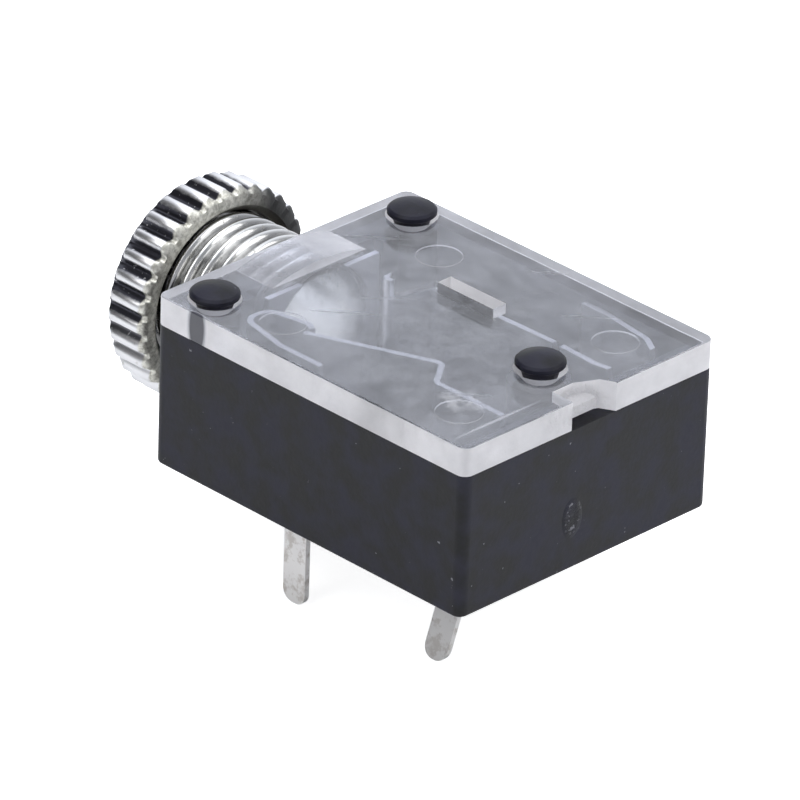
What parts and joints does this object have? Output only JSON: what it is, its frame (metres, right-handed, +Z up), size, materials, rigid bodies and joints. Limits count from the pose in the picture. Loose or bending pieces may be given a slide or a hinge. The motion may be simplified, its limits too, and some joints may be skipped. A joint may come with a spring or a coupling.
{
  "type": "audio jack socket",
  "caption": "Board-mounted socket for a 3.5 mm stereo plug, with a clear cover, threaded barrel and fluted nut.",
  "frame": {"origin": "middle of the housing's underside, the face that seats on the circuit board", "axes": "+Z up out of the board, -X out of the barrel's mouth along its axis, +Y the ring side"},
  "size_m": [0.0186, 0.0114, 0.0103],
  "materials": {
    "housing_plastic": "satin moulded",
    "clear_plastic": "clear moulded",
    "plated_barrel": "bright nickel",
    "plated_nut": "bright nickel",
    "tinned_strip": "bright tin"
  },
  "bodies": {
    "socket": {"housing": "housing_plastic", "cover": "clear_plastic", "barrel": "plated_barrel", "earth_plate": "tinned_strip", "tip_contact": "tinned_strip", "tip_switch": "tinned_strip", "ring_contact": "tinned_strip", "ring_switch": "tinned_strip"},
    "nut": {"nut": "plated_nut"}
  },
  "joints": [
    {"name": "nut_travel", "type": "slide", "parent": "socket", "child": "nut", "axis": [1, 0, 0], "range_m": [-0.0018, 0.00255]}
  ]
}
